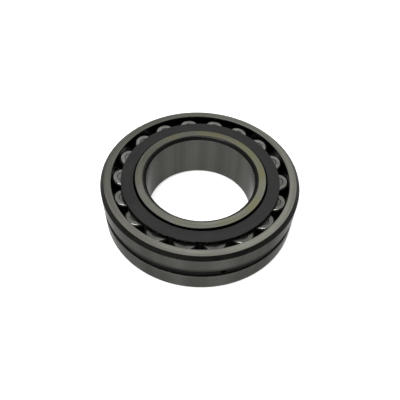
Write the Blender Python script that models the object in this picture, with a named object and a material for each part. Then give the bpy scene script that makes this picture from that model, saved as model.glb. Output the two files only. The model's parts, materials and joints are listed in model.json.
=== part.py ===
"""Double-row spherical roller bearing, 110 x 200 x 53 mm, lying flat with its axis on Z.

The origin is the bearing's centre, where its outer raceway sphere is centred too.
Every piece is a separate object: two rings, a guide ring, two pressed cages and 36 barrel rollers.
"""

import bpy
import bmesh
from math import asin, cos, pi, radians, sin, sqrt
from mathutils import Matrix

MM = 0.001

# Boundary dimensions
OUTER_DIAMETER = 200.0 * MM
BORE_DIAMETER = 110.0 * MM
WIDTH = 53.0 * MM
HALF_WIDTH = WIDTH / 2
OUTER_RADIUS = OUTER_DIAMETER / 2
BORE_RADIUS = BORE_DIAMETER / 2

# Running clearance that every moving neighbour keeps
CLEARANCE = 0.35 * MM
FACET_SAG = 0.15 * MM

# Outer ring: one spherical raceway for both rows, a lubrication groove and its holes
RACEWAY_SPHERE_RADIUS = 92.8 * MM
OUTER_CHAMFER = 3.4 * MM
RACEWAY_EDGE_CHAMFER = 0.4 * MM
GROOVE_WIDTH = 8.4 * MM
GROOVE_DEPTH = 1.6 * MM
GROOVE_WALL_SLOPE = 0.3 * MM
GROOVE_LIP_WIDTH = 2.2 * MM
GROOVE_LIP_DEPTH = 0.5 * MM
OIL_HOLE_RADIUS = 3.0 * MM
OIL_HOLE_COUNT = 3
OIL_HOLE_FIRST_ANGLE = radians(-76.4)

# Rollers: symmetrical barrels, two rows, the lower row staggered by half a pitch
ROLLERS_PER_ROW = 18
ROLLER_RADIUS = 11.9 * MM
ROLLER_LENGTH = 17.2 * MM
ROLLER_PROFILE_RADIUS = 90.0 * MM
ROLLER_CORNER = 1.1 * MM
CONTACT_ANGLE = radians(8.9)
PITCH_ANGLE = 2 * pi / ROLLERS_PER_ROW

# Inner ring
INNER_RACEWAY_PROFILE_RADIUS = 91.2 * MM
BORE_CHAMFER = 3.0 * MM
INNER_FACE_RADIUS = 65.7 * MM
INNER_SHOULDER_DROP = 1.5 * MM
CENTRE_LAND_RADIUS = 68.9 * MM

# Guide ring: floats on the inner ring's land, wedge-shaped between the two rows
GUIDE_RING_OUTER_RADIUS = 79.0 * MM
GUIDE_RING_END_GAP = 0.5 * MM

# Cages: one per row, pressed from sheet steel
CAGE_SHEET = 1.8 * MM
CAGE_FLANGE_INNER_RADIUS = 67.9 * MM
CAGE_FLANGE_OUTER_RADIUS = 79.6 * MM
CAGE_FLANGE_TOP = 24.7 * MM
CAGE_RING_INNER_RADIUS = 79.9 * MM
CAGE_RING_OUTER_RADIUS = 83.0 * MM
CAGE_RING_TOP = 2.9 * MM
CAGE_RING_BOTTOM = 0.2 * MM
BAR_STRAIGHT_HALF_LENGTH = 4.5 * MM

# Steps around each turned piece
RING_STEPS = 60
ROLLER_STEPS = 12

# Worked out from the driving dimensions
ROLLER_DISTANCE = RACEWAY_SPHERE_RADIUS - CLEARANCE - FACET_SAG - ROLLER_RADIUS
ROLLER_PITCH_RADIUS = ROLLER_DISTANCE * cos(CONTACT_ANGLE)
ROLLER_CENTRE_HEIGHT = ROLLER_DISTANCE * sin(CONTACT_ANGLE)
ROLLER_END_RADIUS = ROLLER_RADIUS - (
    ROLLER_PROFILE_RADIUS - sqrt(ROLLER_PROFILE_RADIUS**2 - (ROLLER_LENGTH / 2) ** 2)
)

# Surface colours, as base colour, roughness and metallic value
FINISHES = {
    "ground_steel": ((0.33, 0.33, 0.31, 1.0), 0.32, 1.0),
    "face_steel": ((0.36, 0.36, 0.31, 1.0), 0.36, 1.0),
    "guide_steel": ((0.22, 0.22, 0.21, 1.0), 0.45, 1.0),
    "phosphated_steel": ((0.035, 0.035, 0.036, 1.0), 0.55, 0.4),
    "roller_steel": ((0.42, 0.42, 0.41, 1.0), 0.24, 1.0),
}


def clear_scene():
    for thing in list(bpy.data.objects):
        bpy.data.objects.remove(thing, do_unlink=True)


def material(finish):
    found = bpy.data.materials.get(finish)
    if found:
        return found
    colour, roughness, metallic = FINISHES[finish]
    made = bpy.data.materials.new(finish)
    made.use_nodes = True
    shader = made.node_tree.nodes["Principled BSDF"]
    shader.inputs["Base Color"].default_value = colour
    shader.inputs["Roughness"].default_value = roughness
    shader.inputs["Metallic"].default_value = metallic
    return made


def add_object(name, mesh, finish):
    """A named object for one piece, shaded smooth except across its real edges."""
    if not mesh.materials:
        mesh.materials.append(material(finish))
    mesh.shade_smooth()
    mesh.set_sharp_from_angle(angle=radians(35))
    thing = bpy.data.objects.new(name, mesh)
    bpy.context.scene.collection.objects.link(thing)
    return thing


def mesh_from_bmesh(name, shape):
    bmesh.ops.recalc_face_normals(shape, faces=shape.faces)
    mesh = bpy.data.meshes.new(name)
    shape.to_mesh(mesh)
    shape.free()
    return mesh


def turned_mesh(name, profile, steps):
    """A closed (radius, height) outline turned about Z."""
    shape = bmesh.new()
    corners = [shape.verts.new((radius, 0.0, height)) for radius, height in profile]
    edges = [shape.edges.new((a, b)) for a, b in zip(corners, corners[1:] + corners[:1])]
    bmesh.ops.spin(
        shape,
        geom=corners + edges,
        cent=(0.0, 0.0, 0.0),
        axis=(0.0, 0.0, 1.0),
        angle=2 * pi,
        steps=steps,
        use_merge=True,
    )
    bmesh.ops.remove_doubles(shape, verts=shape.verts, dist=1e-6)
    return mesh_from_bmesh(name, shape)


def mirrored(upper_half):
    """A half outline given from the bottom of its side to the top, with its mirror image below."""
    return [(radius, -height) for radius, height in reversed(upper_half)] + upper_half


# ---------------------------------------------------------------- outer ring


def sphere_radius_at(height):
    return sqrt(RACEWAY_SPHERE_RADIUS**2 - height**2)


def outer_ring_profile():
    """The outside from bottom to top, then the raceway from top to bottom."""
    groove_floor = OUTER_RADIUS - GROOVE_DEPTH
    outside = mirrored(
        [
            (groove_floor, GROOVE_WIDTH / 2 - GROOVE_WALL_SLOPE),
            (OUTER_RADIUS - GROOVE_LIP_DEPTH, GROOVE_WIDTH / 2),
            (OUTER_RADIUS, GROOVE_WIDTH / 2 + GROOVE_LIP_WIDTH),
            (OUTER_RADIUS, HALF_WIDTH - OUTER_CHAMFER),
            (OUTER_RADIUS - OUTER_CHAMFER, HALF_WIDTH),
        ]
    )
    edge_height = HALF_WIDTH - RACEWAY_EDGE_CHAMFER
    raceway_steps = 8
    heights = [edge_height * (1 - 2 * i / raceway_steps) for i in range(raceway_steps + 1)]
    raceway = [(sphere_radius_at(height), height) for height in heights]
    face_inner = sphere_radius_at(edge_height) + RACEWAY_EDGE_CHAMFER
    return outside + [(face_inner, HALF_WIDTH)] + raceway + [(face_inner, -HALF_WIDTH)]


def oil_hole_cutter(index):
    angle = OIL_HOLE_FIRST_ANGLE + index * 2 * pi / OIL_HOLE_COUNT
    shape = bmesh.new()
    bmesh.ops.create_cone(
        shape,
        cap_ends=True,
        segments=10,
        radius1=OIL_HOLE_RADIUS,
        radius2=OIL_HOLE_RADIUS,
        depth=2 * (OUTER_RADIUS - RACEWAY_SPHERE_RADIUS),
    )
    lay_down = Matrix.Rotation(pi / 2, 4, "Y")
    move_out = Matrix.Translation(((OUTER_RADIUS + RACEWAY_SPHERE_RADIUS) / 2, 0.0, 0.0))
    turn = Matrix.Rotation(angle, 4, "Z")
    bmesh.ops.transform(shape, matrix=turn @ move_out @ lay_down, verts=shape.verts)
    cutter = bpy.data.objects.new(f"oil_hole_cutter_{index + 1}", mesh_from_bmesh("oil_hole", shape))
    bpy.context.scene.collection.objects.link(cutter)
    cutter.hide_render = True
    cutter.display_type = "WIRE"
    return cutter


def build_outer_ring():
    ring = add_object(
        "outer_ring", turned_mesh("outer_ring", outer_ring_profile(), RING_STEPS), "ground_steel"
    )
    for index in range(OIL_HOLE_COUNT):
        cut = ring.modifiers.new(f"oil_hole_{index + 1}", "BOOLEAN")
        cut.operation = "DIFFERENCE"
        cut.solver = "EXACT"
        cut.object = oil_hole_cutter(index)
    return ring


# ---------------------------------------------------------------- inner ring


def inner_raceway_radius_at(height):
    """The concave raceway arc, a clearance inside the rollers it carries."""
    reach = ROLLER_DISTANCE - ROLLER_RADIUS - CLEARANCE - FACET_SAG + INNER_RACEWAY_PROFILE_RADIUS
    arc_centre_radius = reach * cos(CONTACT_ANGLE)
    arc_centre_height = reach * sin(CONTACT_ANGLE)
    rise = height - arc_centre_height
    return arc_centre_radius - sqrt(INNER_RACEWAY_PROFILE_RADIUS**2 - rise**2)


def raceway_height_at_land():
    """Where the raceway arc meets the cylindrical land between the rows."""
    low, high = 0.0, HALF_WIDTH
    for _ in range(40):
        middle = (low + high) / 2
        if inner_raceway_radius_at(middle) > CENTRE_LAND_RADIUS:
            low = middle
        else:
            high = middle
    return low


def inner_ring_profile():
    """The outside from bottom to top, then the bore from top to bottom."""
    start = raceway_height_at_land()
    stop = HALF_WIDTH - INNER_SHOULDER_DROP
    raceway_steps = 5
    heights = [start + (stop - start) * i / raceway_steps for i in range(raceway_steps + 1)]
    raceway = [(inner_raceway_radius_at(height), height) for height in heights]
    outside = mirrored(raceway + [(INNER_FACE_RADIUS, HALF_WIDTH)])
    bore = [
        (BORE_RADIUS + BORE_CHAMFER, HALF_WIDTH),
        (BORE_RADIUS, HALF_WIDTH - BORE_CHAMFER),
        (BORE_RADIUS, BORE_CHAMFER - HALF_WIDTH),
        (BORE_RADIUS + BORE_CHAMFER, -HALF_WIDTH),
    ]
    return outside + bore


def build_inner_ring():
    mesh = turned_mesh("inner_ring", inner_ring_profile(), RING_STEPS)
    return add_object("inner_ring", mesh, "face_steel")


# ---------------------------------------------------------------- guide ring


def roller_inner_end_height(radius):
    """Height of the upper rollers' inner end faces above the mid-plane, at a radius."""
    end_radius = ROLLER_PITCH_RADIUS + ROLLER_LENGTH / 2 * sin(CONTACT_ANGLE)
    end_height = ROLLER_CENTRE_HEIGHT - ROLLER_LENGTH / 2 * cos(CONTACT_ANGLE)
    return end_height + (radius - end_radius) * sin(CONTACT_ANGLE) / cos(CONTACT_ANGLE)


def build_guide_ring():
    bore = CENTRE_LAND_RADIUS + CLEARANCE + FACET_SAG
    gap = GUIDE_RING_END_GAP / cos(CONTACT_ANGLE)
    profile = mirrored(
        [
            (GUIDE_RING_OUTER_RADIUS, roller_inner_end_height(GUIDE_RING_OUTER_RADIUS) - gap),
            (bore, roller_inner_end_height(bore) - gap),
        ]
    )
    mesh = turned_mesh("guide_ring", profile, RING_STEPS)
    return add_object("guide_ring", mesh, "guide_steel")


# ---------------------------------------------------------------- cages


def barrel_radius_at(offset):
    return ROLLER_RADIUS - (ROLLER_PROFILE_RADIUS - sqrt(ROLLER_PROFILE_RADIUS**2 - offset**2))


def bar_half_width(offset):
    """Half the room between two rollers, less the clearance, at an offset along their axes."""
    axis_radius = ROLLER_PITCH_RADIUS - offset * sin(CONTACT_ANGLE)
    nearest = min(abs(offset), ROLLER_LENGTH / 2)
    barrel = barrel_radius_at(nearest if nearest > BAR_STRAIGHT_HALF_LENGTH else 0.0)
    return axis_radius * sin(PITCH_ANGLE / 2) - barrel - CLEARANCE


def cage_stations():
    """Down a bar: (outer radius, outer height, inner radius, inner height, half width)."""
    flange_bottom = CAGE_FLANGE_TOP - CAGE_SHEET
    bend_inner = CAGE_FLANGE_OUTER_RADIUS - CAGE_SHEET
    top = (CAGE_FLANGE_OUTER_RADIUS, CAGE_FLANGE_TOP, bend_inner, flange_bottom)
    foot = (CAGE_RING_OUTER_RADIUS, CAGE_RING_TOP, CAGE_RING_INNER_RADIUS, CAGE_RING_TOP)
    stations = [top + (bar_half_width(ROLLER_LENGTH / 2),)]
    for offset in (BAR_STRAIGHT_HALF_LENGTH, -BAR_STRAIGHT_HALF_LENGTH):
        height = ROLLER_CENTRE_HEIGHT + offset * cos(CONTACT_ANGLE)
        centre = ROLLER_PITCH_RADIUS - offset * sin(CONTACT_ANGLE)
        outer = centre + CAGE_SHEET / 2
        inner = centre - CAGE_SHEET / 2
        stations.append((outer, height, inner, height, bar_half_width(offset)))
    stations.append(foot + (bar_half_width(ROLLER_LENGTH / 2),))
    return stations


def ring_of_points(shape, radius, height, half_width, phase):
    """Three points to a pitch: both sides of a bar and the middle of the window after it."""
    points = []
    lean = asin(half_width / radius)
    for index in range(ROLLERS_PER_ROW):
        bar = phase + (index + 0.5) * PITCH_ANGLE
        for angle in (bar - lean, bar + lean, bar + PITCH_ANGLE / 2):
            points.append(shape.verts.new((radius * cos(angle), radius * sin(angle), height)))
    return points


def skin(shape, first, second, wanted):
    """Quads between two rings of points, over bars, over windows or over both."""
    count = len(first)
    for index in range(count):
        over_bar = index % 3 == 0
        if wanted == "both" or (wanted == "bars") == over_bar:
            following = (index + 1) % count
            shape.faces.new((first[index], first[following], second[following], second[index]))


def cage_mesh(name, phase):
    """The upper row's cage: a flange over the roller ends, a bar between rollers, an end ring."""
    shape = bmesh.new()
    stations = cage_stations()
    top_width = stations[0][4]
    foot_width = stations[-1][4]
    flange_bottom = CAGE_FLANGE_TOP - CAGE_SHEET
    flange_rim = (CAGE_FLANGE_INNER_RADIUS, CAGE_FLANGE_OUTER_RADIUS)
    inner_top = ring_of_points(shape, flange_rim[0], CAGE_FLANGE_TOP, top_width, phase)
    inner_bottom = ring_of_points(shape, flange_rim[0], flange_bottom, top_width, phase)
    edge_bottom = ring_of_points(shape, flange_rim[1], flange_bottom, top_width, phase)
    outers = [ring_of_points(shape, s[0], s[1], s[4], phase) for s in stations]
    inners = [ring_of_points(shape, s[2], s[3], s[4], phase) for s in stations]
    ring_outer = ring_of_points(shape, CAGE_RING_OUTER_RADIUS, CAGE_RING_BOTTOM, foot_width, phase)
    ring_inner = ring_of_points(shape, CAGE_RING_INNER_RADIUS, CAGE_RING_BOTTOM, foot_width, phase)

    # Flange: top, bore edge, underside, and the outer edge and lip over each window
    skin(shape, inner_top, outers[0], "both")
    skin(shape, inner_bottom, inner_top, "both")
    skin(shape, inners[0], inner_bottom, "both")
    skin(shape, outers[0], edge_bottom, "windows")
    skin(shape, edge_bottom, inners[0], "windows")

    # Bars: outer and inner faces, then both sides of each
    for upper, lower in zip(outers, outers[1:]):
        skin(shape, upper, lower, "bars")
    for upper, lower in zip(inners, inners[1:]):
        skin(shape, lower, upper, "bars")
    for index in range(0, 3 * ROLLERS_PER_ROW, 3):
        for side in (index, index + 1):
            shoulder = [outers[0][side], edge_bottom[side], inners[0][side]]
            shape.faces.new(shoulder + [inners[1][side], outers[1][side]])
            for low in range(2, len(stations)):
                upper_pair = [outers[low - 1][side], inners[low - 1][side]]
                lower_pair = [inners[low][side], outers[low][side]]
                shape.faces.new(upper_pair + lower_pair)

    # End ring: its four sides, the top one only under the windows
    skin(shape, inners[-1], outers[-1], "windows")
    skin(shape, outers[-1], ring_outer, "both")
    skin(shape, ring_outer, ring_inner, "both")
    skin(shape, ring_inner, inners[-1], "both")

    loose = [vertex for vertex in shape.verts if not vertex.link_faces]
    bmesh.ops.delete(shape, geom=loose, context="VERTS")
    return mesh_from_bmesh(name, shape)


def build_cage(row, phase):
    mesh = cage_mesh(f"cage_{row}", phase)
    cage = add_object(f"cage_{row}", mesh, "phosphated_steel")
    if row == "lower":
        mesh.transform(Matrix.Diagonal((1.0, 1.0, -1.0, 1.0)))
        mesh.flip_normals()
    return cage


# ---------------------------------------------------------------- rollers


def roller_mesh():
    """A barrel about Z: flat ends, a rounded-off corner, and its bulging side."""
    half = ROLLER_LENGTH / 2
    side_end = half - ROLLER_CORNER
    rings = [
        (ROLLER_END_RADIUS - ROLLER_CORNER, half),
        (barrel_radius_at(side_end), side_end),
        (ROLLER_RADIUS, 0.0),
        (barrel_radius_at(side_end), -side_end),
        (ROLLER_END_RADIUS - ROLLER_CORNER, -half),
    ]
    shape = bmesh.new()
    loops = []
    for radius, height in rings:
        angles = [2 * pi * i / ROLLER_STEPS for i in range(ROLLER_STEPS)]
        loops.append([shape.verts.new((radius * cos(a), radius * sin(a), height)) for a in angles])
    for upper, lower in zip(loops, loops[1:]):
        for i in range(ROLLER_STEPS):
            j = (i + 1) % ROLLER_STEPS
            shape.faces.new((upper[i], upper[j], lower[j], lower[i]))
    shape.faces.new(loops[0])
    shape.faces.new(loops[-1])
    return mesh_from_bmesh("roller", shape)


def build_rollers():
    """Each roller's origin is its own centre and its local Z is the axis it spins on."""
    mesh = roller_mesh()
    for row, side, stagger in (("upper", 1, 0.0), ("lower", -1, 0.5)):
        for index in range(ROLLERS_PER_ROW):
            angle = (index + stagger) * PITCH_ANGLE
            roller = add_object(f"roller_{row}_{index + 1:02d}", mesh, "roller_steel")
            turn = Matrix.Rotation(angle, 4, "Z")
            place = Matrix.Translation((ROLLER_PITCH_RADIUS, 0.0, side * ROLLER_CENTRE_HEIGHT))
            lean = Matrix.Rotation(-side * CONTACT_ANGLE, 4, "Y")
            roller.matrix_world = turn @ place @ lean


clear_scene()
build_outer_ring()
build_inner_ring()
build_guide_ring()
build_cage("upper", 0.0)
build_cage("lower", PITCH_ANGLE / 2)
build_rollers()
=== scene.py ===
"""The looks of a double-row spherical roller bearing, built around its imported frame.

Lengths are in metres and the origin is the bearing's centre, with its axis on Z. The rings, the
guide ring, both cages and all 36 rollers are finely modelled pieces that stand for the CAD nodes.
"""

import json
from math import asin, cos, pi, radians, sin, sqrt

import bmesh
import bpy
from mathutils import Matrix, Vector


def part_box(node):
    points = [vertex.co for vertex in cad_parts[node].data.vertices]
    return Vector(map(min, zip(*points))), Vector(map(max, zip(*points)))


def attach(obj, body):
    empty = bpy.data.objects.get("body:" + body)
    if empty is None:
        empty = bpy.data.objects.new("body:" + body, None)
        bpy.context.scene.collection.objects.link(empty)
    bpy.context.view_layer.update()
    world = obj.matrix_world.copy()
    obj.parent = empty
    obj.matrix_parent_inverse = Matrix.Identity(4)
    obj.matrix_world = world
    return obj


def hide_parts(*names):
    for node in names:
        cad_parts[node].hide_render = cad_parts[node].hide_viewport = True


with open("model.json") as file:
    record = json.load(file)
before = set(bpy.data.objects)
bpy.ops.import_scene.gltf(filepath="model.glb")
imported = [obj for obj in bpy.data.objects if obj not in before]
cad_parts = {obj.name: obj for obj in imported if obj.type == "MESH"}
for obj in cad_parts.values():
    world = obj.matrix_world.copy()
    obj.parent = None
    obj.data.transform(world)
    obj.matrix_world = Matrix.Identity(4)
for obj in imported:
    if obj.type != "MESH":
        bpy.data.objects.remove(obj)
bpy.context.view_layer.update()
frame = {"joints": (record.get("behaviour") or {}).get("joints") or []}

MM = 0.001

# Sizes read from the frame
OUTER_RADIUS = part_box("outer_ring")[1][0]
HALF_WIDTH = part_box("outer_ring")[1][2]
ROLLER_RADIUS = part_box("roller_upper_01")[1][1]
GUIDE_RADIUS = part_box("guide_ring")[1][0]
GUIDE_HALF_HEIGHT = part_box("guide_ring")[1][2]
CAGE_FLANGE_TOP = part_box("cage_upper")[1][2]
CAGE_RING_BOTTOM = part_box("cage_upper")[0][2]
ROLLER_SPINS = {
    joint["child"]: joint for joint in frame["joints"] if joint["child"].startswith("roller_")
}
FIRST_ROLLER = ROLLER_SPINS["roller_upper_01"]
ROLLER_PITCH_RADIUS = FIRST_ROLLER["pos_m"][0]
ROLLER_CENTRE_HEIGHT = FIRST_ROLLER["pos_m"][2]
CONTACT_ANGLE = asin(-FIRST_ROLLER["axis"][0])
ROLLERS_PER_ROW = len(ROLLER_SPINS) // 2
PITCH_ANGLE = 2 * pi / ROLLERS_PER_ROW

# Sizes of the turned profiles
RACEWAY_SPHERE_RADIUS = 92.8 * MM
OUTER_CHAMFER = 3.4 * MM
RACEWAY_EDGE = 0.5 * MM
GROOVE_DEPTH = 1.6 * MM
GROOVE_FLOOR_HALF_WIDTH = 3.9 * MM
GROOVE_WALL_HALF_WIDTH = 4.2 * MM
GROOVE_LIP_HALF_WIDTH = 6.4 * MM
GROOVE_LIP_DEPTH = 0.5 * MM
# Height where the shade painted over the groove's upper lip has faded out
LIP_PAINTED_SHADE_TOP = 10.4 * MM
OIL_HOLE_RADIUS = 3.0 * MM
OIL_HOLE_COUNT = 3
OIL_HOLE_FIRST_ANGLE = radians(-76.4)
BORE_RADIUS = 55.0 * MM
BORE_CHAMFER = 3.0 * MM
INNER_FACE_RADIUS = 65.55 * MM
INNER_SHOULDER_DROP = 1.5 * MM
INNER_RACEWAY_PROFILE_RADIUS = 91.2 * MM
INNER_RACEWAY_DISTANCE = 68.0 * MM
CENTRE_LAND_RADIUS = 68.9 * MM
CENTRE_LAND_HALF_WIDTH = 2.0 * MM
GUIDE_BORE_RADIUS = 69.4 * MM

# Rollers and cages
ROLLER_HALF_LENGTH = 8.6 * MM
ROLLER_PROFILE_RADIUS = 90.0 * MM
ROLLER_CORNER = 1.1 * MM
ROLLER_DIMPLE_RADIUS = 1.45 * MM
ROLLER_DIMPLE_DEPTH = 1.5 * MM
ROLLER_STEP_RADIUS = 6.05 * MM
CAGE_SHEET = 1.8 * MM
CAGE_FLANGE_INNER_RADIUS = 67.6 * MM
CAGE_FLANGE_OUTER_RADIUS = 79.7 * MM
CAGE_RING_INNER_RADIUS = 79.9 * MM
CAGE_RING_OUTER_RADIUS = 83.0 * MM
CAGE_RING_TOP = 2.9 * MM
BAR_BOW = 0.35 * MM
BAR_CLEARANCE = 0.4 * MM
WINDOW_FILLET = 1.4 * MM

# Edge treatment
SHARP_ANGLE = radians(32)
PRESSED_EDGE = 0.3 * MM
PRESSED_EDGE_ANGLE = radians(40)

# How finely the pieces are divided
RING_STEPS = 240
ROLLER_STEPS = 56
ROLLER_SIDE_STEPS = 14
OIL_HOLE_STEPS = 40
RACEWAY_STEPS = 40
INNER_RACEWAY_STEPS = 24
BAR_COLUMNS = 4
BAR_ROWS = 18
WINDOW_COLUMNS = 10

# Surface grain, in noise cells per metre
FINE_LINES = 2600.0
GRINDING_LINES = 1500.0
SCALE_LINES = 900.0
BROAD_LINES = 300.0
SHEET_GRAIN = 2400.0
RUBBED_LINES = 160.0
SCALE_BLOTCHES = 90.0
SHEET_PATCHES = 55.0
OIL_PATCHES = 48.0
GROUND_CLOUDS = 45.0
CLOUDS = 30.0

# How much the height counts beside the radius in where a turning line falls
HEIGHT_SHARE = 1.37

# Depths of that grain, in metres
SCALE_DEPTH = 0.00008
BROAD_DEPTH = 0.00006
SHEET_DEPTH = 0.00004
FINE_DEPTH = 0.00003
GRINDING_DEPTH = 0.00002

# The near-black shade painted over the groove's upper lip, thinning out with height
LIP_PAINTED_SHADE_TONE = (0.008, 0.008, 0.007)

# The side of the inner ring where the preserving oil has pooled
OILED_SIDE = (0.8, 0.6, 0.0)

# The floor, and the greys of the room. A direction has the cosines where its grey starts and is full
FLOOR_RADIUS = 8.0
FLOOR_STEPS = 96
FLOOR_GAP = 0.05 * MM
FLOOR_COLOUR = (0.9, 0.9, 0.9)
FLOOR_GLOW = 0.62
ROOM_GREY = 0.42
REAR_GLOW_GREY = 1.5
REAR_GLOW = ((0.15, 0.45, 0.88), 0.865, 1.0)
FRONT_SHADE_GREY = 0.16
FRONT_SHADE = ((0.0, -0.755, 0.656), 0.62, 0.88)
HORIZON_GREY = 1.02
HORIZON = ((0.0, 0.0, -1.0), -0.36, -0.2)

# The camera looks at CAMERA_AIM and is then swung about Z by CAMERA_TURN
CAMERA_ELEVATION = radians(49.14)
CAMERA_DISTANCE = 481.2 * MM
CAMERA_ROLL = radians(4.59)
CAMERA_TURN = radians(-1.43)
CAMERA_AIM = (10.33 * MM, -52.07 * MM, 0.0)
CAMERA_SHIFT = (-0.0215, 0.0837)
SENSOR_WIDTH = 36.0
FOCAL_LENGTH = SENSOR_WIDTH * 1.140125


# ---------------------------------------------------------------- materials


class Graph:
    """A material's node tree, with short calls to add and join its nodes."""

    def __init__(self, name):
        self.material = bpy.data.materials.new(name)
        self.material.use_nodes = True
        self.nodes = self.material.node_tree.nodes
        self.links = self.material.node_tree.links
        self.shader = self.nodes["Principled BSDF"]

    def add(self, kind, inputs=None, **settings):
        node = self.nodes.new(kind)
        for key, value in settings.items():
            setattr(node, key, value)
        for key, value in (inputs or {}).items():
            self.feed(value, node.inputs[key])
        return node

    def feed(self, value, socket):
        """Links another node's output or sets a constant. A colour is given without its alpha."""
        if isinstance(value, bpy.types.NodeSocket):
            self.links.new(value, socket)
        elif socket.type == "RGBA":
            socket.default_value = (*value, 1.0)
        else:
            socket.default_value = value

    def shade(self, name, value):
        """Feeds one input of the Principled shader."""
        self.feed(value, self.shader.inputs[name])

    def maths(self, operation, first, second=0.0):
        return self.add("ShaderNodeMath", {0: first, 1: second}, operation=operation).outputs[0]

    def vector(self, operation, first, second=(0.0, 0.0, 0.0)):
        return self.add("ShaderNodeVectorMath", {0: first, 1: second}, operation=operation)

    def ranged(self, value, low, high, start=0.0, stop=1.0):
        """value between start and stop, mapped to low to high."""
        inputs = {"Value": value, "From Min": start, "From Max": stop, "To Min": low, "To Max": high}
        return self.add("ShaderNodeMapRange", inputs, clamp=True).outputs[0]

    def mix(self, factor, first, second):
        node = self.add("ShaderNodeMix", data_type="RGBA")
        self.feed(factor, node.inputs[0])
        self.feed(first, node.inputs[6])
        self.feed(second, node.inputs[7])
        return node.outputs[2]

    def noise(self, vector, scale, detail=3.0, roughness=0.55):
        inputs = {"Vector": vector, "Scale": scale, "Detail": detail, "Roughness": roughness}
        return self.add("ShaderNodeTexNoise", inputs).outputs["Fac"]

    def bump(self, height, distance, strength, normal=None):
        inputs = {"Height": height, "Distance": distance, "Strength": strength}
        if normal is not None:
            inputs["Normal"] = normal
        return self.add("ShaderNodeBump", inputs).outputs[0]


def turning_vector(graph, around):
    """Coordinates that run fast across the turning lines and slowly around the Z axis."""
    place = graph.add("ShaderNodeTexCoord").outputs["Object"]
    flat = graph.vector("MULTIPLY", place, (1.0, 1.0, 0.0)).outputs[0]
    radius = graph.vector("LENGTH", flat).outputs["Value"]
    height = graph.add("ShaderNodeSeparateXYZ", {0: place}).outputs[2]
    across = graph.maths("ADD", radius, graph.maths("MULTIPLY", height, HEIGHT_SHARE))
    heading = graph.vector("NORMALIZE", flat).outputs[0]
    slow = graph.vector("SCALE", heading)
    graph.feed(around, slow.inputs["Scale"])
    lift = graph.add("ShaderNodeCombineXYZ", {2: across}).outputs[0]
    return place, graph.vector("ADD", slow.outputs[0], lift).outputs[0]


def oil_film(graph, place):
    """Patches of preserving oil, thicker towards the oiled side."""
    moved = graph.vector("ADD", place, (0.31, 0.17, 0.05)).outputs[0]
    side = graph.vector("DOT_PRODUCT", place, OILED_SIDE).outputs["Value"]
    film = graph.maths("ADD", graph.noise(moved, OIL_PATCHES), graph.maths("MULTIPLY", side, 2.2))
    return graph.ranged(film, 0.0, 0.9, 0.46, 0.66)


def steel(name, base, dark, roughness, stain=None, lines=1.0):
    """Steel with turning or grinding lines round Z, a cloudy tone and, given a stain, a film of oil.

    lines scales the relief of those lines.
    """
    graph = Graph(name)
    place, turned = turning_vector(graph, around=0.004)
    fine = graph.noise(turned, FINE_LINES, detail=2.0)
    broad = graph.noise(turned, BROAD_LINES)
    cloud = graph.noise(place, CLOUDS, detail=4.0, roughness=0.6)
    tone = graph.mix(graph.ranged(broad, 0.0, 1.0, 0.38, 0.62), base, dark)
    tone = graph.mix(graph.ranged(cloud, 0.0, 0.55, 0.45, 0.75), tone, dark)
    if stain is not None:
        tone = graph.mix(oil_film(graph, place), tone, stain)
    graph.shade("Base Color", tone)
    uneven = graph.maths("ADD", graph.maths("MULTIPLY", fine, 0.12), graph.maths("MULTIPLY", cloud, 0.16))
    graph.shade("Roughness", graph.maths("ADD", uneven, roughness - 0.14))
    relief = graph.bump(broad, BROAD_DEPTH, 0.25 * lines)
    graph.shade("Normal", graph.bump(fine, FINE_DEPTH, 0.5 * lines, relief))
    graph.shade("Metallic", 1.0)
    return graph.material


def honed(name, base, dark, roughness, edge, lip_painted_shade=False):
    """A ground cylinder: soft bands along its axis, painted reflections as well as uneven honing,
    and very faint grinding lines.

    edge is the tint of its glancing reflection; kept grey, it paints shade on the glancing sides.
    The lip flag paints near-black shade above the groove, less with height.
    """
    graph = Graph(name)
    place, turned = turning_vector(graph, around=0.004)
    flat = graph.vector("MULTIPLY", place, (1.0, 1.0, 0.0)).outputs[0]
    heading = graph.vector("NORMALIZE", flat).outputs[0]
    # Soft bands along the axis: painted reflections of the room as well as uneven honing
    bands = graph.noise(heading, 3.2, detail=2.5, roughness=0.6)
    fine = graph.noise(turned, GRINDING_LINES, detail=2.0)
    cloud = graph.noise(place, GROUND_CLOUDS, detail=4.0, roughness=0.6)
    tone = graph.mix(graph.ranged(bands, 0.0, 1.0, 0.36, 0.64), base, dark)
    tone = graph.mix(graph.ranged(cloud, 0.0, 0.35, 0.5, 0.75), tone, dark)
    tone = graph.mix(graph.ranged(fine, 0.0, 0.2, 0.45, 0.7), tone, dark)
    # Painted shade: near-black over the groove's upper lip, fading out with height
    if lip_painted_shade:
        height = graph.add("ShaderNodeSeparateXYZ", {0: place}).outputs[2]
        over_groove = graph.ranged(height, 0.0, 1.0, -0.1 * MM, 0.1 * MM)
        near_groove = graph.ranged(height, 1.0, 0.0, GROOVE_WALL_HALF_WIDTH, LIP_PAINTED_SHADE_TOP)
        lip_shade_mask = graph.maths("MULTIPLY", over_groove, near_groove)
        tone = graph.mix(lip_shade_mask, tone, LIP_PAINTED_SHADE_TONE)
    graph.shade("Base Color", tone)
    uneven = graph.maths("ADD", graph.maths("MULTIPLY", fine, 0.05), graph.maths("MULTIPLY", cloud, 0.14))
    graph.shade("Roughness", graph.maths("ADD", uneven, roughness - 0.1))
    graph.shade("Normal", graph.bump(fine, GRINDING_DEPTH, 0.15))
    # A grey edge tint dims the glancing reflections, painting shade on the sides
    graph.shade("Specular Tint", (edge, edge, edge))
    graph.shade("Metallic", 1.0)
    return graph.material


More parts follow.
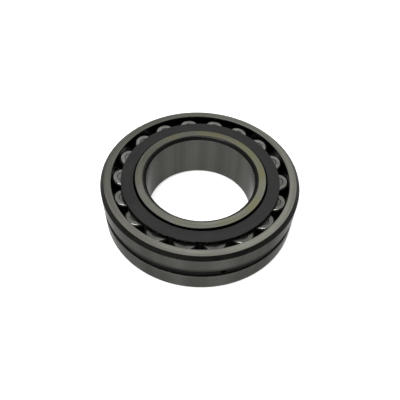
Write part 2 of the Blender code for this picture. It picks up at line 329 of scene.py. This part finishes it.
def phosphated(name):
    """Pressed sheet with a dark phosphate surface: charcoal, faintly grained, paler where rubbed."""
    graph = Graph(name)
    place, turned = turning_vector(graph, around=0.02)
    grain = graph.noise(place, SHEET_GRAIN, roughness=0.7)
    patch = graph.noise(place, SHEET_PATCHES, detail=5.0, roughness=0.62)
    rubbed = graph.noise(turned, RUBBED_LINES, detail=4.0)
    charcoal = (0.0088, 0.0090, 0.0084)
    paler = (0.0158, 0.0158, 0.0148)
    worn = (0.024, 0.024, 0.0232)
    speck = (0.008, 0.008, 0.008)
    tone = graph.mix(graph.ranged(patch, 0.0, 1.0, 0.38, 0.64), charcoal, paler)
    tone = graph.mix(graph.ranged(rubbed, 0.0, 0.6, 0.5, 0.75), tone, worn)
    tone = graph.mix(graph.ranged(grain, 0.0, 0.35, 0.4, 0.75), tone, speck)
    graph.shade("Base Color", tone)
    graph.shade("Roughness", graph.ranged(patch, 0.42, 0.6, 0.3, 0.7))
    graph.shade("Normal", graph.bump(grain, SHEET_DEPTH, 0.35))
    graph.shade("Metallic", 0.35)
    return graph.material


def hardened_scale(name, black, grey, shine):
    """Unground corners and grooves: black scale from hardening, over coarse turning lines."""
    graph = Graph(name)
    place, turned = turning_vector(graph, around=0.006)
    lines = graph.noise(turned, SCALE_LINES)
    blotch = graph.noise(place, SCALE_BLOTCHES, detail=4.0)
    tone = graph.mix(graph.ranged(blotch, 0.0, 1.0, 0.3, 0.75), black, grey)
    graph.shade("Base Color", tone)
    graph.shade("Roughness", graph.ranged(lines, 0.36, 0.56))
    graph.shade("Normal", graph.bump(lines, SCALE_DEPTH, 0.4))
    graph.shade("Specular IOR Level", shine)
    return graph.material


FACE = steel("ground_face", base=(0.204, 0.204, 0.178), dark=(0.138, 0.138, 0.118), roughness=0.27)
OILED_FACE = steel(
    "oiled_face", base=(0.184, 0.185, 0.160), dark=(0.130, 0.130, 0.108), roughness=0.27,
    stain=(0.163, 0.158, 0.091),
)
# The outside and the bore are the rings' steel painted far darker than the faces, as shade; the outside
# also carries the shade painted over the groove's upper lip
OUTSIDE_PAINTED_SHADE = honed(
    "ground_outside_painted_shade", base=(0.073, 0.074, 0.066), dark=(0.048, 0.049, 0.043), roughness=0.30,
    edge=0.5, lip_painted_shade=True,
)
BORE_PAINTED_SHADE = honed(
    "honed_bore_painted_shade", base=(0.072, 0.073, 0.065), dark=(0.047, 0.048, 0.042), roughness=0.24, edge=0.65,
)
# Near-black steel: painted shade on the raceways, the inner ring's corners and the dark ring at the foot
# of each roller's dish
RACEWAY_PAINTED_SHADE = steel(
    "raceway", base=(0.036, 0.036, 0.034), dark=(0.024, 0.024, 0.023), roughness=0.26, lines=0.3,
)
SCALE = hardened_scale(
    "hardened_scale", black=(0.0015, 0.0015, 0.0014), grey=(0.006, 0.0058, 0.005), shine=0.1,
)
GROOVE = hardened_scale(
    "groove_scale", black=(0.0008, 0.0008, 0.0007), grey=(0.0025, 0.0024, 0.002), shine=0.02,
)
GUIDE = steel("guide_ring_iron", base=(0.07, 0.07, 0.068), dark=(0.045, 0.045, 0.043), roughness=0.45)
CAGE = phosphated("phosphated_sheet")
ROLLER_SIDE = steel(
    "roller_side", base=(0.12, 0.12, 0.115), dark=(0.09, 0.09, 0.085), roughness=0.22, lines=0.4,
)
ROLLER_END = steel(
    "roller_end", base=(0.176, 0.176, 0.164), dark=(0.130, 0.130, 0.121), roughness=0.24, lines=1.4,
)
ROLLER_DISH = steel(
    "roller_dish", base=(0.174, 0.174, 0.163), dark=(0.126, 0.126, 0.117), roughness=0.32, lines=1.6,
)


# ---------------------------------------------------------------- mesh helpers


def arc(centre, radius, start, stop, steps):
    """Points (radius, height) along an arc, both angles in degrees from the +radius direction."""
    points = []
    for i in range(steps + 1):
        angle = radians(start + (stop - start) * i / steps)
        points.append((centre[0] + radius * cos(angle), centre[1] + radius * sin(angle)))
    return points


def below(points):
    """The mirror image of points under the mid-plane, in the opposite order."""
    return [(radius, -height) for radius, height in reversed(points)]


def ring_of(shape, radius, height, steps):
    """A level ring of vertices about Z."""
    angles = [2 * pi * i / steps for i in range(steps)]
    return [shape.verts.new((radius * cos(angle), radius * sin(angle), height)) for angle in angles]


def join_rings(shape, first, second, finish):
    """A band of quads between two rings of the same count, in the finish with that index."""
    for i in range(len(first)):
        j = (i + 1) % len(first)
        face = shape.faces.new((first[i], first[j], second[j], second[i]))
        face.material_index = finish


def turned_mesh(name, bands, steps):
    """A closed outline turned about Z. bands are (material, points); each starts where the last ended."""
    materials = []
    outline = []
    finish = []
    for material, points in bands:
        if material not in materials:
            materials.append(material)
        for point in points:
            outline.append(point)
            finish.append(materials.index(material))
    shape = bmesh.new()
    rings = [ring_of(shape, radius, height, steps) for radius, height in outline]
    for k, ring in enumerate(rings):
        join_rings(shape, ring, rings[(k + 1) % len(rings)], finish[k])
    return finished_mesh(name, shape, materials)


def finished_mesh(name, shape, materials):
    """A smooth mesh with sharp edges only where the surface turns by more than SHARP_ANGLE."""
    bmesh.ops.recalc_face_normals(shape, faces=shape.faces)
    mesh = bpy.data.meshes.new(name)
    shape.to_mesh(mesh)
    shape.free()
    for material in materials:
        mesh.materials.append(material)
    mesh.shade_smooth()
    mesh.set_sharp_from_angle(angle=SHARP_ANGLE)
    return mesh


def piece(name, mesh, node):
    """A finished piece that stands for a CAD node and hides that node's part; each caller attaches it to
    the node's body.
    """
    thing = bpy.data.objects.new(name, mesh)
    bpy.context.scene.collection.objects.link(thing)
    level = thing.modifiers.new("even_shading", "WEIGHTED_NORMAL")
    level.keep_sharp = True
    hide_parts(node)
    return thing


# ---------------------------------------------------------------- outer ring


def outer_ring_bands():
    """Anticlockwise from the groove's middle: up the outside, over the face, down the raceway."""
    floor = OUTER_RADIUS - GROOVE_DEPTH
    wall = OUTER_RADIUS - GROOVE_LIP_DEPTH
    groove_top = [
        (floor, GROOVE_FLOOR_HALF_WIDTH - 0.35 * MM),
        (floor + 0.08 * MM, GROOVE_FLOOR_HALF_WIDTH - 0.1 * MM),
        (floor + 0.3 * MM, GROOVE_FLOOR_HALF_WIDTH + 0.05 * MM),
        (wall - 0.2 * MM, GROOVE_WALL_HALF_WIDTH - 0.05 * MM),
    ]
    lip = [
        (wall, GROOVE_WALL_HALF_WIDTH + 0.1 * MM),
        (wall + 0.17 * MM, GROOVE_WALL_HALF_WIDTH + 0.5 * MM),
        (wall + 0.32 * MM, GROOVE_WALL_HALF_WIDTH + 1.0 * MM),
        (wall + 0.43 * MM, GROOVE_WALL_HALF_WIDTH + 1.6 * MM),
    ]
    outside = [
        (OUTER_RADIUS, GROOVE_LIP_HALF_WIDTH),
        (OUTER_RADIUS, HALF_WIDTH - OUTER_CHAMFER - 0.35 * MM),
    ]
    chamfer = [
        (OUTER_RADIUS - 0.12 * MM, HALF_WIDTH - OUTER_CHAMFER + 0.04 * MM),
        (OUTER_RADIUS - OUTER_CHAMFER + 0.04 * MM, HALF_WIDTH - 0.12 * MM),
        (OUTER_RADIUS - OUTER_CHAMFER - 0.3 * MM, HALF_WIDTH),
    ]
    edge_height = HALF_WIDTH - RACEWAY_EDGE
    edge_radius = sqrt(RACEWAY_SPHERE_RADIUS**2 - edge_height**2)
    edge_centre = (edge_radius + RACEWAY_EDGE, edge_height)
    inner_edge = arc(edge_centre, RACEWAY_EDGE, 90, 180, 4)
    tilt = asin(edge_height / RACEWAY_SPHERE_RADIUS) * 180 / pi
    raceway = arc((0.0, 0.0), RACEWAY_SPHERE_RADIUS, tilt, -tilt, RACEWAY_STEPS)
    return [
        (GROOVE, groove_top),
        (OUTSIDE_PAINTED_SHADE, lip + outside),
        (SCALE, chamfer[:-1]),
        (FACE, chamfer[-1:]),
        # The raceway, painted near-black as shade
        (RACEWAY_PAINTED_SHADE, inner_edge[:-1] + raceway + below(inner_edge[1:-1])),
        (FACE, below(inner_edge[:1])),
        (SCALE, below(chamfer)),
        (OUTSIDE_PAINTED_SHADE, below(outside) + below(lip)),
        (GROOVE, below(groove_top)),
    ]


def drill_oil_holes(ring):
    """Evenly spaced radial holes from the groove to the raceway, cut through the finished ring."""
    cutter = bmesh.new()
    length = 4 * (OUTER_RADIUS - RACEWAY_SPHERE_RADIUS)
    for index in range(OIL_HOLE_COUNT):
        angle = OIL_HOLE_FIRST_ANGLE + index * 2 * pi / OIL_HOLE_COUNT
        turn = Matrix.Rotation(angle, 4, "Z")
        out = Matrix.Translation((OUTER_RADIUS, 0.0, 0.0))
        lay = Matrix.Rotation(pi / 2, 4, "Y")
        bmesh.ops.create_cone(
            cutter, cap_ends=True, segments=OIL_HOLE_STEPS, depth=length,
            radius1=OIL_HOLE_RADIUS, radius2=OIL_HOLE_RADIUS, matrix=turn @ out @ lay,
        )
    drill = bpy.data.objects.new("drill", finished_mesh("drill", cutter, [GROOVE]))
    bpy.context.scene.collection.objects.link(drill)
    cut = ring.modifiers.new("oil_holes", "BOOLEAN")
    cut.operation = "DIFFERENCE"
    cut.solver = "EXACT"
    cut.material_mode = "TRANSFER"
    cut.object = drill
    bpy.context.view_layer.update()
    seen = ring.evaluated_get(bpy.context.evaluated_depsgraph_get())
    drilled = bpy.data.meshes.new_from_object(seen)
    ring.modifiers.remove(cut)
    ring.data = drilled
    bpy.data.objects.remove(drill)


def build_outer_ring():
    mesh = turned_mesh("outer_ring_finish", outer_ring_bands(), RING_STEPS)
    ring = piece("outer_ring_finish", mesh, "outer_ring")
    drill_oil_holes(ring)
    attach(ring, "outer_ring")


# ---------------------------------------------------------------- inner ring and guide ring


def inner_raceway(land_height, stop):
    """The concave arc that carries one row, from the land out to the shoulder."""
    reach = INNER_RACEWAY_PROFILE_RADIUS + INNER_RACEWAY_DISTANCE
    centre = (reach * cos(CONTACT_ANGLE), reach * sin(CONTACT_ANGLE))
    points = []
    for i in range(INNER_RACEWAY_STEPS + 1):
        height = land_height + (stop - land_height) * i / INNER_RACEWAY_STEPS
        rise = height - centre[1]
        points.append((centre[0] - sqrt(INNER_RACEWAY_PROFILE_RADIUS**2 - rise**2), height))
    return points


def inner_ring_bands():
    """From the land's middle: up the outside, over the face, down the bore."""
    land = [(CENTRE_LAND_RADIUS, CENTRE_LAND_HALF_WIDTH)]
    shoulder = HALF_WIDTH - INNER_SHOULDER_DROP
    track = inner_raceway(CENTRE_LAND_HALF_WIDTH + 0.3 * MM, shoulder)
    last = track[-1]
    corner = [
        (last[0] - 0.10 * MM, last[1] + 0.25 * MM),
        (INNER_FACE_RADIUS + 0.35 * MM, HALF_WIDTH - 0.25 * MM),
        (INNER_FACE_RADIUS + 0.12 * MM, HALF_WIDTH - 0.07 * MM),
    ]
    face = [
        (INNER_FACE_RADIUS - 0.15 * MM, HALF_WIDTH),
        (BORE_RADIUS + BORE_CHAMFER + 0.5 * MM, HALF_WIDTH),
    ]
    rounding = [
        (BORE_RADIUS + BORE_CHAMFER - 0.1 * MM, HALF_WIDTH - 0.07 * MM),
        (BORE_RADIUS + BORE_CHAMFER - 0.65 * MM, HALF_WIDTH - 0.3 * MM),
    ]
    chamfer = [
        (BORE_RADIUS + BORE_CHAMFER - 1.1 * MM, HALF_WIDTH - 0.65 * MM),
        (BORE_RADIUS + 0.12 * MM, HALF_WIDTH - BORE_CHAMFER + 0.05 * MM),
    ]
    bore = [(BORE_RADIUS, HALF_WIDTH - BORE_CHAMFER - 0.35 * MM)]
    return [
        (GUIDE, below(land) + land),
        # The raceway and its corner are painted near-black as shade, and so is the rounding by the bore
        (RACEWAY_PAINTED_SHADE, track + corner),
        (OILED_FACE, face[:-1]),
        (RACEWAY_PAINTED_SHADE, face[-1:] + rounding),
        (SCALE, chamfer),
        (BORE_PAINTED_SHADE, bore + below(bore)),
        (SCALE, below(chamfer)),
        (RACEWAY_PAINTED_SHADE, below(rounding)),
        (OILED_FACE, below(face)[:-1]),
        (RACEWAY_PAINTED_SHADE, below(track + corner + face[:1])),
    ]


def build_inner_ring():
    mesh = turned_mesh("inner_ring_finish", inner_ring_bands(), RING_STEPS)
    ring = piece("inner_ring_finish", mesh, "inner_ring")
    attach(ring, "inner_ring")


def build_guide_ring():
    """A wedge section with broken corners, thicker at its rim."""
    edge = 0.25 * MM
    bore_half = GUIDE_HALF_HEIGHT - (GUIDE_RADIUS - GUIDE_BORE_RADIUS) * sin(CONTACT_ANGLE)
    top = [
        (GUIDE_RADIUS, GUIDE_HALF_HEIGHT - edge),
        (GUIDE_RADIUS - edge, GUIDE_HALF_HEIGHT - edge * 0.2),
        (GUIDE_BORE_RADIUS + edge, bore_half),
        (GUIDE_BORE_RADIUS, bore_half - edge),
    ]
    mesh = turned_mesh("guide_ring_finish", [(GUIDE, top + below(top))], RING_STEPS)
    ring = piece("guide_ring_finish", mesh, "guide_ring")
    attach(ring, "guide_ring")


# ---------------------------------------------------------------- cages


def barrel_radius_at(offset):
    return ROLLER_RADIUS - (ROLLER_PROFILE_RADIUS - sqrt(ROLLER_PROFILE_RADIUS**2 - offset**2))


def bar_half_width(offset):
    """Half the room between two rollers at an offset along their axes, with filleted window corners."""
    axis_radius = ROLLER_PITCH_RADIUS - offset * sin(CONTACT_ANGLE)
    within = min(abs(offset), ROLLER_HALF_LENGTH)
    width = axis_radius * sin(PITCH_ANGLE / 2) - barrel_radius_at(within) - BAR_CLEARANCE
    from_corner = ROLLER_HALF_LENGTH + BAR_CLEARANCE - abs(offset)
    if from_corner < WINDOW_FILLET:
        reach = WINDOW_FILLET - max(from_corner, 0.0)
        width += WINDOW_FILLET - sqrt(max(WINDOW_FILLET**2 - reach**2, 0.0))
    return width


def bar_stations():
    """Down a bar: (outer radius, outer height, inner radius, inner height, half width)."""
    flange_bottom = CAGE_FLANGE_TOP - CAGE_SHEET
    bend_inner = CAGE_FLANGE_OUTER_RADIUS - CAGE_SHEET
    corner_width = bar_half_width(ROLLER_HALF_LENGTH + BAR_CLEARANCE)
    stations = [(CAGE_FLANGE_OUTER_RADIUS, CAGE_FLANGE_TOP, bend_inner, flange_bottom, corner_width)]
    for i in range(BAR_ROWS + 1):
        offset = (ROLLER_HALF_LENGTH - 0.1 * MM) * cos(pi * i / BAR_ROWS)
        height = ROLLER_CENTRE_HEIGHT + offset * cos(CONTACT_ANGLE)
        centre = ROLLER_PITCH_RADIUS - offset * sin(CONTACT_ANGLE)
        bow = BAR_BOW * (1 - (offset / ROLLER_HALF_LENGTH) ** 2)
        outer = centre + CAGE_SHEET / 2 + bow
        inner = centre - CAGE_SHEET / 2 + bow
        stations.append((outer, height, inner, height, bar_half_width(offset)))
    outer = (CAGE_RING_OUTER_RADIUS, CAGE_RING_TOP)
    inner = (CAGE_RING_INNER_RADIUS, CAGE_RING_TOP)
    stations.append(outer + inner + (corner_width,))
    return stations


def cage_ring(shape, radius, height, half_width, phase):
    """Points round the cage, even across each bar and across each window."""
    lean = asin(half_width / radius)
    points = []
    for index in range(ROLLERS_PER_ROW):
        bar = phase + (index + 0.5) * PITCH_ANGLE
        over_bar = [bar - lean + 2 * lean * i / BAR_COLUMNS for i in range(BAR_COLUMNS)]
        window = PITCH_ANGLE - 2 * lean
        over_window = [bar + lean + window * i / WINDOW_COLUMNS for i in range(WINDOW_COLUMNS)]
        for angle in over_bar + over_window:
            points.append(shape.verts.new((radius * cos(angle), radius * sin(angle), height)))
    return points


def cage_skin(shape, first, second, over):
    """Quads between two rings of points: over the bars, over the windows or all round."""
    columns = BAR_COLUMNS + WINDOW_COLUMNS
    for index in range(len(first)):
        on_bar = index % columns < BAR_COLUMNS
        if over == "all" or (over == "bars") == on_bar:
            following = (index + 1) % len(first)
            shape.faces.new((first[index], first[following], second[following], second[index]))


def cage_mesh(name, phase):
    """A flange over the roller ends, a waisted bar between rollers and an end ring, in one pressing."""
    shape = bmesh.new()
    stations = bar_stations()
    width = bar_half_width(ROLLER_HALF_LENGTH + BAR_CLEARANCE)
    flange_bottom = CAGE_FLANGE_TOP - CAGE_SHEET
    inner_top = cage_ring(shape, CAGE_FLANGE_INNER_RADIUS, CAGE_FLANGE_TOP, width, phase)
    inner_bottom = cage_ring(shape, CAGE_FLANGE_INNER_RADIUS, flange_bottom, width, phase)
    lip = cage_ring(shape, CAGE_FLANGE_OUTER_RADIUS, flange_bottom, width, phase)
    outers = [cage_ring(shape, radius, height, half, phase) for radius, height, _, _, half in stations]
    inners = [cage_ring(shape, radius, height, half, phase) for _, _, radius, height, half in stations]
    foot_outer = cage_ring(shape, CAGE_RING_OUTER_RADIUS, CAGE_RING_BOTTOM, width, phase)
    foot_inner = cage_ring(shape, CAGE_RING_INNER_RADIUS, CAGE_RING_BOTTOM, width, phase)

    cage_skin(shape, inner_top, outers[0], "all")
    cage_skin(shape, inner_bottom, inner_top, "all")
    cage_skin(shape, inners[0], inner_bottom, "all")
    cage_skin(shape, outers[0], lip, "windows")
    cage_skin(shape, lip, inners[0], "windows")
    for upper, lower in zip(outers, outers[1:]):
        cage_skin(shape, upper, lower, "bars")
    for upper, lower in zip(inners, inners[1:]):
        cage_skin(shape, lower, upper, "bars")
    columns = BAR_COLUMNS + WINDOW_COLUMNS
    for bar in range(0, columns * ROLLERS_PER_ROW, columns):
        for side in (bar, bar + BAR_COLUMNS):
            # The first face of a bar's side has a fifth corner, on the flange's lip
            corner = (outers[0][side], lip[side], inners[0][side])
            shape.faces.new(corner + (inners[1][side], outers[1][side]))
            for low in range(2, len(stations)):
                top = (outers[low - 1][side], inners[low - 1][side])
                shape.faces.new(top + (inners[low][side], outers[low][side]))
    cage_skin(shape, inners[-1], outers[-1], "windows")
    cage_skin(shape, outers[-1], foot_outer, "all")
    cage_skin(shape, foot_outer, foot_inner, "all")
    cage_skin(shape, foot_inner, inners[-1], "all")

    loose = [vertex for vertex in shape.verts if not vertex.link_faces]
    bmesh.ops.delete(shape, geom=loose, context="VERTS")
    return finished_mesh(name, shape, [CAGE])


def build_cage(row, phase):
    name = f"cage_{row}_finish"
    mesh = cage_mesh(name, phase)
    if row == "lower":
        mesh.transform(Matrix.Diagonal((1.0, 1.0, -1.0, 1.0)))
        mesh.flip_normals()
    cage = piece(name, mesh, f"cage_{row}")
    soften = cage.modifiers.new("pressed_edges", "BEVEL")
    soften.limit_method = "ANGLE"
    soften.angle_limit = PRESSED_EDGE_ANGLE
    soften.width = PRESSED_EDGE
    soften.segments = 2
    # The edges are softened before the shading is evened
    cage.modifiers.move(1, 0)
    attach(cage, f"cage_{row}")


# ---------------------------------------------------------------- rollers


def roller_outline():
    """From the middle of the top end out over the rim and down to mid-length.

    The end has a centre dimple and a shallow dish, whose foot and step lead up to the flat rim.
    """
    end = ROLLER_HALF_LENGTH
    dimple = [
        (0.45 * MM, end - ROLLER_DIMPLE_DEPTH),
        (ROLLER_DIMPLE_RADIUS - 0.3 * MM, end - 0.85 * MM),
        (ROLLER_DIMPLE_RADIUS, end - 0.72 * MM),
    ]
    dish = [(1.8 * MM, end - 0.68 * MM), (4.95 * MM, end - 0.54 * MM)]
    foot = [(5.3 * MM, end - 0.5 * MM), (ROLLER_STEP_RADIUS - 0.3 * MM, end - 0.42 * MM)]
    step = [(ROLLER_STEP_RADIUS - 0.13 * MM, end - 0.06 * MM), (ROLLER_STEP_RADIUS, end)]
    reach = barrel_radius_at(end - ROLLER_CORNER)
    rim = [
        (reach - 2.1 * MM, end),
        (reach - 2.0 * MM, end - 0.02 * MM),
        (reach - 1.7 * MM, end - 0.13 * MM),
        (reach - 1.43 * MM, end - 0.31 * MM),
    ]
    corner = [
        (reach - 1.33 * MM, end - 0.37 * MM),
        (reach - 0.8 * MM, end - 0.62 * MM),
        (reach - 0.3 * MM, end - 0.85 * MM),
        (reach - 0.05 * MM, end - 1.20 * MM),
    ]
    side = []
    for i in range(ROLLER_SIDE_STEPS):
        offset = (end - ROLLER_CORNER * 1.15) * (1 - i / ROLLER_SIDE_STEPS)
        side.append((barrel_radius_at(offset), offset))
    return dimple, dish, foot, step, rim, corner, side


def roller_mesh():
    """A barrel about Z with dished, turned ends; shared by every roller."""
    dimple, dish, foot, step, rim, corner, side = roller_outline()
    bands = [
        (ROLLER_DISH, dimple + dish),
        # The dish's foot is painted as a dark ring of shade
        (RACEWAY_PAINTED_SHADE, foot),
        (ROLLER_END, step + rim),
        (SCALE, corner),
        (ROLLER_SIDE, side),
    ]
    materials = [material for material, _ in bands]
    upper_half = [point for _, points in bands for point in points]
    finishes = [index for index, (_, points) in enumerate(bands) for _ in points]
    shape = bmesh.new()
    outline = upper_half + [(ROLLER_RADIUS, 0.0)] + below(upper_half)
    loops = [ring_of(shape, radius, height, ROLLER_STEPS) for radius, height in outline]
    for upper, lower, finish in zip(loops, loops[1:], finishes + finishes[::-1]):
        join_rings(shape, upper, lower, finish)
    for loop in (loops[0], loops[-1]):
        tip = shape.verts.new((0.0, 0.0, loop[0].co.z))
        for i in range(ROLLER_STEPS):
            shape.faces.new((loop[i], loop[(i + 1) % ROLLER_STEPS], tip))
    return finished_mesh("roller_finish", shape, materials)


def build_rollers():
    """Each roller sits on its spin joint, its own Z along the joint's axis."""
    mesh = roller_mesh()
    for name, joint in ROLLER_SPINS.items():
        roller = piece(f"{name}_finish", mesh, name)
        up = Vector(joint["axis"])
        place = Vector(joint["pos_m"])
        outward = Vector((place.x, place.y, 0.0)).normalized()
        side = up.cross(outward).normalized()
        ahead = side.cross(up).normalized()
        turn = Matrix((ahead, side, up)).transposed().to_4x4()
        roller.matrix_world = Matrix.Translation(place) @ turn
        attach(roller, name)


# ---------------------------------------------------------------- stage, light and camera


def build_floor():
    floor = Graph("pale_floor")
    floor.shade("Base Color", FLOOR_COLOUR)
    floor.shade("Roughness", 0.8)
    floor.shade("Specular IOR Level", 0.2)
    floor.shade("Emission Color", (1.0, 1.0, 1.0))
    floor.shade("Emission Strength", FLOOR_GLOW)
    shape = bmesh.new()
    bmesh.ops.create_circle(shape, cap_ends=True, segments=FLOOR_STEPS, radius=FLOOR_RADIUS)
    mesh = finished_mesh("floor", shape, [floor.material])
    thing = bpy.data.objects.new("floor", mesh)
    thing.location.z = -HALF_WIDTH - FLOOR_GAP
    bpy.context.scene.collection.objects.link(thing)


def soft_light(name, place, size, power):
    """A square soft light that faces the bearing."""
    lamp = bpy.data.lights.new(name, "AREA")
    lamp.shape = "SQUARE"
    lamp.size = size
    lamp.energy = power
    thing = bpy.data.objects.new(name, lamp)
    thing.location = place
    thing.rotation_euler = Vector(place).to_track_quat("Z", "Y").to_euler()
    bpy.context.scene.collection.objects.link(thing)


def build_world():
    """A grey room: bright high up at the back, dark high up at the front, white from the horizon down."""
    world = bpy.data.worlds.new("studio")
    world.use_nodes = True
    bpy.context.scene.world = world
    nodes = world.node_tree.nodes
    links = world.node_tree.links
    background = nodes["Background"]
    heading = nodes.new("ShaderNodeTexCoord").outputs["Generated"]

    def facing(direction, start, stop):
        dot = nodes.new("ShaderNodeVectorMath")
        dot.operation = "DOT_PRODUCT"
        dot.inputs[1].default_value = Vector(direction).normalized()
        links.new(heading, dot.inputs[0])
        ramp = nodes.new("ShaderNodeMapRange")
        ramp.interpolation_type = "SMOOTHSTEP"
        ramp.inputs["From Min"].default_value = start
        ramp.inputs["From Max"].default_value = stop
        links.new(dot.outputs["Value"], ramp.inputs["Value"])
        return ramp.outputs[0]

    def blend(factor, first, second):
        mix = nodes.new("ShaderNodeMix")
        mix.data_type = "RGBA"
        links.new(factor, mix.inputs[0])
        for value, socket in ((first, mix.inputs[6]), (second, mix.inputs[7])):
            if isinstance(value, float):
                socket.default_value = (value, value, value, 1.0)
            else:
                links.new(value, socket)
        return mix.outputs[2]

    colour = blend(facing(*REAR_GLOW), ROOM_GREY, REAR_GLOW_GREY)
    colour = blend(facing(*FRONT_SHADE), colour, FRONT_SHADE_GREY)
    colour = blend(facing(*HORIZON), colour, HORIZON_GREY)
    links.new(colour, background.inputs["Color"])
    background.inputs["Strength"].default_value = 1.0


def build_camera():
    """Looks down at the bearing, turned about Z so that the rollers lie as seen, with a shifted lens."""
    lens = bpy.data.cameras.new("camera")
    lens.sensor_width = SENSOR_WIDTH
    lens.lens = FOCAL_LENGTH
    lens.clip_start = 0.01
    lens.shift_x, lens.shift_y = CAMERA_SHIFT
    camera = bpy.data.objects.new("camera", lens)
    bpy.context.scene.collection.objects.link(camera)
    back = Vector((0.0, -cos(CAMERA_ELEVATION), sin(CAMERA_ELEVATION)))
    place = back * CAMERA_DISTANCE
    aim = (place - Vector(CAMERA_AIM)).to_track_quat("Z", "Y").to_matrix().to_4x4()
    turn = Matrix.Rotation(CAMERA_TURN, 4, "Z")
    roll = Matrix.Rotation(CAMERA_ROLL, 4, "Z")
    camera.matrix_world = turn @ Matrix.Translation(place) @ aim @ roll
    bpy.context.scene.camera = camera


build_outer_ring()
build_inner_ring()
build_guide_ring()
build_cage("upper", 0.0)
build_cage("lower", PITCH_ANGLE / 2)
build_rollers()
build_floor()
build_world()
soft_light("overhead", place=(-0.2, -0.35, 1.1), size=0.6, power=8.0)
soft_light("front_left", place=(-0.45, -0.55, 0.75), size=0.25, power=2.0)
build_camera()
bpy.context.scene.view_settings.view_transform = "Standard"
